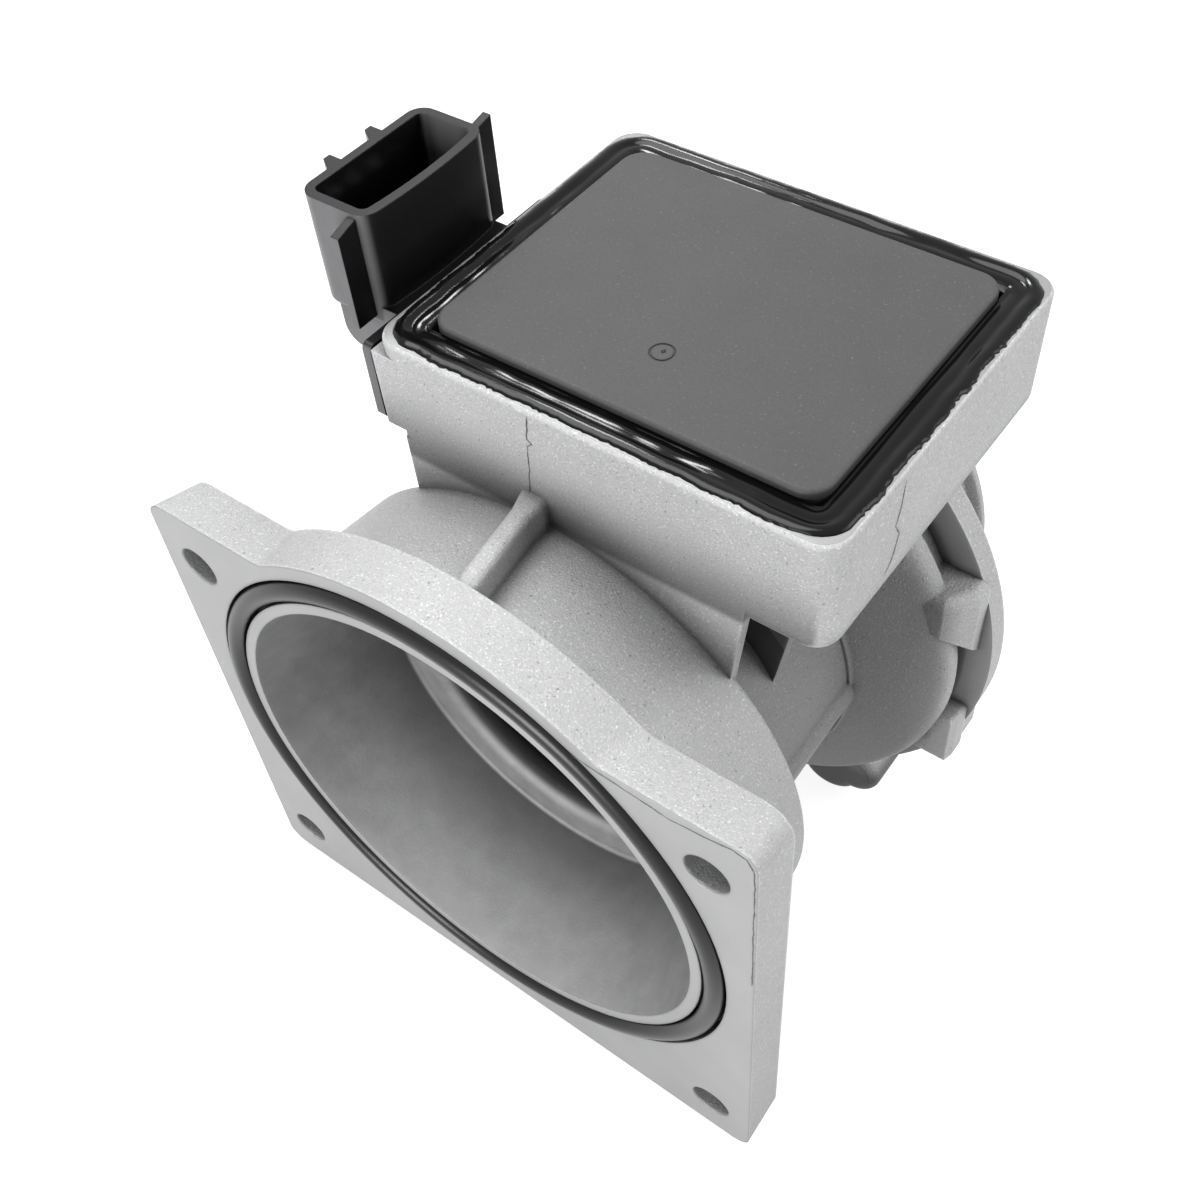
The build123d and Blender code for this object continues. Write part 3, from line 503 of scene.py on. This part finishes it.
def rounded_loop(low, high, corner, step):
    """Points and outward directions round a rectangle with round corners, in millimetres."""
    points = []
    middles = [(high[0] - corner, high[1] - corner, 0), (low[0] + corner, high[1] - corner, 90),
               (low[0] + corner, low[1] + corner, 180), (high[0] - corner, low[1] + corner, 270)]
    for i, (x, y, start) in enumerate(middles):
        for k in range(bead_turn_steps + 1):
            angle = radians(start + 90 * k / bead_turn_steps)
            points.append((Vector((x + corner * cos(angle), y + corner * sin(angle), 0)),
                           Vector((cos(angle), sin(angle), 0))))
        turned = radians(start + 90)
        out = Vector((cos(turned), sin(turned), 0))
        next_x, next_y, _ = middles[(i + 1) % 4]
        goal = Vector((next_x, next_y, 0)) + out * corner
        here = points[-1][0]
        count = int((goal - here).length / step)
        for k in range(1, count):
            points.append((here.lerp(goal, k / count), out))
    return points


def sealed_piece(name, rings, replaced, material):
    """A closed tube from rings of points in millimetres, that stands for a CAD node."""
    size = len(rings[0])
    points = [p * mm for ring in rings for p in ring]
    faces = []
    for i in range(len(rings)):
        ahead = (i + 1) % len(rings)
        for k in range(size):
            beside = (k + 1) % size
            faces.append((i * size + k, i * size + beside, ahead * size + beside, ahead * size + k))
    mesh = bpy.data.meshes.new(name)
    mesh.from_pydata(points, [], faces)
    mesh.materials.append(material)
    for face in mesh.polygons:
        face.use_smooth = True
    piece = bpy.data.objects.new(name, mesh)
    bpy.context.scene.collection.objects.link(piece)
    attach(piece, "root")
    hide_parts(replaced)


def bead_height(share, place):
    """Height of the bead's skin over the rim, from its outer edge at 0 to the lid at 1."""
    swell = noise.noise(place * 0.09 + Vector((3.1, 0, 0)))
    ripple = noise.noise(place * 0.22)
    outer = 0.75 * (1 + 0.35 * swell) * sin(pi * min(share / 0.5, 1)) ** 0.8
    inner = (0.55 + 0.25 * ripple) * sin(pi * max(0, min((share - 0.42) / 0.58, 1))) ** 0.8
    dip = 0.35 * max(0, (share - 0.2)) + 0.2 * swell * share
    return bead_swell * (outer + inner) - dip


def make_sealant():
    """The bead, swept round the lid with a skin that changes on its way."""
    low, high = (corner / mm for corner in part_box("lid_sealant"))
    lid_low, lid_high = (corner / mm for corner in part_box("lid"))
    width = lid_low.x - low.x
    loop = rounded_loop(low, high, 3.8, bead_step)
    rings = []
    for place, out in loop:
        start = place + out * (bead_over_rim + bead_ragged * noise.noise(place * 0.25))
        torn = out * (bead_ragged * 0.9 * noise.noise(place * 2.1))
        end = place - out * (width - 0.03)
        ring = [Vector((start.x, start.y, box_top - 0.02)) + torn]
        for k in range(1, bead_span):
            share = k / bead_span
            at = start.lerp(end, share)
            height = box_top + max(bead_height(share, place), -0.9)
            ring.append(Vector((at.x, at.y, height)) + torn * max(0, 1 - 5 * share))
        ring.append(Vector((end.x, end.y, box_top + 0.1)))
        ring.append(Vector((end.x, end.y, bead_floor)))
        ring.append(Vector((place.x, place.y, bead_floor)) - out * 0.03)
        ring.append(Vector((place.x, place.y, box_top - 0.03)) - out * 0.03)
        rings.append(ring)
    sealant = moulded_plastic("sealant", 0.002, 0.1, 3.0, 0.0, 0.3, 0.22)
    sealed_piece("sealant_bead", rings, "lid_sealant", sealant)


make_sealant()


# The seals. A black rubber ring lies in the groove of the flange, a little out of true, and another
# of the same rubber between drum and collar.
seal_steps = 220
seal_sides = 18
seal_wander = 0.18


def make_inlet_seal():
    """The O-ring, swept round the groove."""
    low, high = (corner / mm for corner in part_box("inlet_seal"))
    radius = (high.y - low.y) / 2
    middle = (high.x - low.x) / 2 - radius
    rings = []
    for i in range(seal_steps):
        angle = 2 * pi * i / seal_steps
        out = Vector((cos(angle), 0, sin(angle)))
        wander = seal_wander * noise.noise(out * 1.7)
        centre = out * (middle + wander) + Vector((0, (low.y + high.y) / 2, 0))
        ring = []
        for k in range(seal_sides):
            turn = 2 * pi * k / seal_sides
            ring.append(centre + (out * cos(turn) + Vector((0, sin(turn), 0))) * (radius - 0.02))
        rings.append(ring)
    sealed_piece("inlet_o_ring", rings, "inlet_seal", rubber)


rubber = moulded_plastic("seal_rubber", 0.009, 0.3, 0.4, 0.01, 1.0, 0.3)
give(["collar_seal"], rubber)
make_inlet_seal()


# The plug socket. One black moulding with its elbow, base plate and ribs, paler in front from
# scuffs and a painted sheen.
# Two screws hold its base plate on the housing, over a thin gasket.
give(["connector_body"], moulded_plastic("socket_plastic", 0.012, 0.32, 0.3, 0.02, 1.5, 0.25, 0.13))
gaskets = moulded_plastic("gasket_rubber", 0.02, 0.7, 0.4, 0.02)
give(["connector_gasket", "holder_seal"], gaskets)


# The measuring holder and the electronics. They lie hidden under the lid and in the floor of the
# box: a ceramic board with its chips on four posts, and two elements of glass on pins.
give(["sensor_holder"], moulded_plastic("holder_plastic", 0.04, 0.45, 0.3, 0.02))
give(["control_chip", "power_transistor"], moulded_plastic("chip_plastic", 0.02, 0.6, 0.3, 0.02))
give(["chip_capacitors"], moulded_plastic("capacitor_ceramic", 0.3, 0.4, 0.3, 0.01))
give(["circuit_board"], moulded_plastic("board_ceramic", 0.5, 0.5, 0.3, 0.01))
give(["hot_wire", "cold_wire"], moulded_plastic("element_glass", 0.55, 0.2, 0.2, 0.01))


# Screws, blades, pins and leads. The screws are plated steel and the rest is tinned brass or wire,
# all drawn or turned, with a slightly uneven shine.
def plated_metal(name, tone, rough):
    """Plated metal with fine scratches and a slightly uneven shine."""
    metal = Metal(name)
    patches = metal.clouds(2.5, 3.0)
    scratches = metal.clouds(0.25, 1.0)
    shade = tone + (patches - 0.5) * 0.15
    colour = metal.node("ShaderNodeCombineColor", {}, {0: shade, 1: shade * 0.99, 2: shade * 0.96})
    gloss = rough + (patches - 0.5) * 0.2
    normal = metal.bumps(scratches, 0.01, metal.soft_edges(0.15))
    return metal.cover(Base_Color=colour, Metallic=1.0, Roughness=gloss, Normal=normal)


screws = ["connector_screws", "board_screws", "holder_screws", "collar_screws"]
give(screws, plated_metal("screw_steel", 0.5, 0.35))
pins = ["terminal_pin_" + str(i) for i in range(1, 6)]
pins += ["support_pin_" + str(i) for i in range(1, 5)]
give(pins, plated_metal("terminal_metal", 0.62, 0.3))
give(["bond_leads"], plated_metal("lead_metal", 0.7, 0.25))
